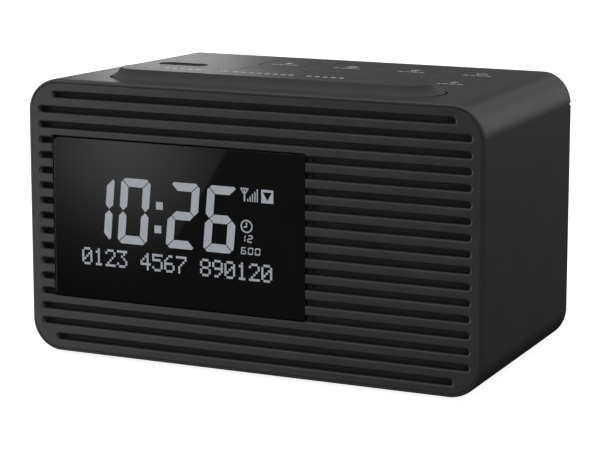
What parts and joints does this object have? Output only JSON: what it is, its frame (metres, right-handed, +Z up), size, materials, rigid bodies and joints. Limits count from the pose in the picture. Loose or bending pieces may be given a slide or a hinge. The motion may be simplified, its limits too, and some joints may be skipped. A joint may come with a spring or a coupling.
{
  "type": "tabletop clock radio",
  "caption": "Tabletop clock radio: rounded tapered case, slotted front grille around a dark display window, long raised snooze bar and flush square keys on top.",
  "frame": {"origin": "on the surface the radio stands on, under the middle of its bounding box", "axes": "+X to the right seen from the front, +Y from the front grille to the rear cover, +Z up"},
  "size_m": [0.1804, 0.103, 0.1069],
  "materials": {
    "case_plastic": "fine satin moulded texture",
    "grille_plastic": "satin moulded",
    "key_plastic": "satin moulded",
    "grille_cloth": "fine black woven cloth",
    "smoked_window": "polished, deep black",
    "inner_plastic": "matt moulded",
    "lcd_glass": "polished",
    "light_guide": "milky",
    "circuit_board": "solder mask",
    "tinned_steel": "tinned",
    "black_moulding": "moulded",
    "rubber": "matt",
    "foam": "open-cell foam",
    "speaker_steel": "black painted",
    "magnet": "bare ferrite",
    "cone_paper": "pressed pulp",
    "coil_copper": "enamelled wire",
    "ribbon": "flat cable",
    "red_wire": "wire insulation",
    "screw_steel": "zinc plated"
  },
  "bodies": {
    "radio": {"cabinet": "case_plastic", "rear_cover": "case_plastic", "front_grille": "grille_plastic", "grille_cloth": "grille_cloth", "display_window": "smoked_window", "sensor_lens": "smoked_window", "baffle": "inner_plastic", "display_frame": "inner_plastic", "lcd_panel": "lcd_glass", "backlight": "light_guide", "key_board": "circuit_board", "main_board": "circuit_board", "tuner_module": "tinned_steel", "dc_jack": "black_moulding", "speaker_lead_negative": "black_moulding", "antenna_gland": "rubber", "speaker_surround": "rubber", "foot_front_left": "rubber", "foot_front_right": "rubber", "foot_rear_left": "rubber", "foot_rear_right": "rubber", "speaker_gasket": "foam", "speaker_basket": "speaker_steel", "speaker_magnet": "magnet", "key_ribbon": "ribbon", "display_ribbon": "ribbon", "speaker_lead_positive": "red_wire", "rear_screw_1": "screw_steel", "rear_screw_2": "screw_steel", "rear_screw_3": "screw_steel", "rear_screw_4": "screw_steel", "grille_screw_1": "screw_steel", "grille_screw_2": "screw_steel", "grille_screw_3": "screw_steel", "grille_screw_4": "screw_steel", "baffle_screw_1": "screw_steel", "baffle_screw_2": "screw_steel", "baffle_screw_3": "screw_steel", "baffle_screw_4": "screw_steel", "main_board_screw_1": "screw_steel", "main_board_screw_2": "screw_steel", "main_board_screw_3": "screw_steel", "main_board_screw_4": "screw_steel", "key_board_screw_1": "screw_steel", "key_board_screw_2": "screw_steel", "key_board_screw_3": "screw_steel", "key_board_screw_4": "screw_steel"},
    "snooze": {"snooze_bar": "key_plastic"},
    "loudspeaker_cone": {"speaker_cone": "cone_paper", "speaker_dust_cap": "cone_paper", "voice_coil": "coil_copper"},
    "alarm_1_key": {"alarm_1_button": "key_plastic"},
    "alarm_2_key": {"alarm_2_button": "key_plastic"},
    "minus_key": {"minus_button": "key_plastic"},
    "plus_key": {"plus_button": "key_plastic"},
    "source_key": {"source_button": "key_plastic"},
    "menu_key": {"menu_button": "key_plastic"},
    "sleep_key": {"sleep_button": "key_plastic"},
    "power_key": {"power_button": "key_plastic"}
  },
  "joints": [
    {"name": "snooze_press", "type": "slide", "parent": "radio", "child": "snooze", "axis": [0, 0, -1], "range_m": [0, 0.001], "stiffness_N_per_m": 2500, "springref_m": -0.0004},
    {"name": "alarm_1_press", "type": "slide", "parent": "radio", "child": "alarm_1_key", "axis": [0, 0, -1], "range_m": [0, 0.0006], "stiffness_N_per_m": 2500, "springref_m": -0.0004},
    {"name": "alarm_2_press", "type": "slide", "parent": "radio", "child": "alarm_2_key", "axis": [0, 0, -1], "range_m": [0, 0.0006], "stiffness_N_per_m": 2500, "springref_m": -0.0004},
    {"name": "minus_press", "type": "slide", "parent": "radio", "child": "minus_key", "axis": [0, 0, -1], "range_m": [0, 0.0006], "stiffness_N_per_m": 2500, "springref_m": -0.0004},
    {"name": "plus_press", "type": "slide", "parent": "radio", "child": "plus_key", "axis": [0, 0, -1], "range_m": [0, 0.0006], "stiffness_N_per_m": 2500, "springref_m": -0.0004},
    {"name": "source_press", "type": "slide", "parent": "radio", "child": "source_key", "axis": [0, 0, -1], "range_m": [0, 0.0006], "stiffness_N_per_m": 2500, "springref_m": -0.0004},
    {"name": "menu_press", "type": "slide", "parent": "radio", "child": "menu_key", "axis": [0, 0, -1], "range_m": [0, 0.0006], "stiffness_N_per_m": 2500, "springref_m": -0.0004},
    {"name": "sleep_press", "type": "slide", "parent": "radio", "child": "sleep_key", "axis": [0, 0, -1], "range_m": [0, 0.0006], "stiffness_N_per_m": 2500, "springref_m": -0.0004},
    {"name": "power_press", "type": "slide", "parent": "radio", "child": "power_key", "axis": [0, 0, -1], "range_m": [0, 0.0006], "stiffness_N_per_m": 2500, "springref_m": -0.0004},
    {"name": "cone_stroke", "type": "slide", "parent": "radio", "child": "loudspeaker_cone", "axis": [0, -1, 0], "range_m": [-0.0012, 0.0012], "stiffness_N_per_m": 1500}
  ]
}
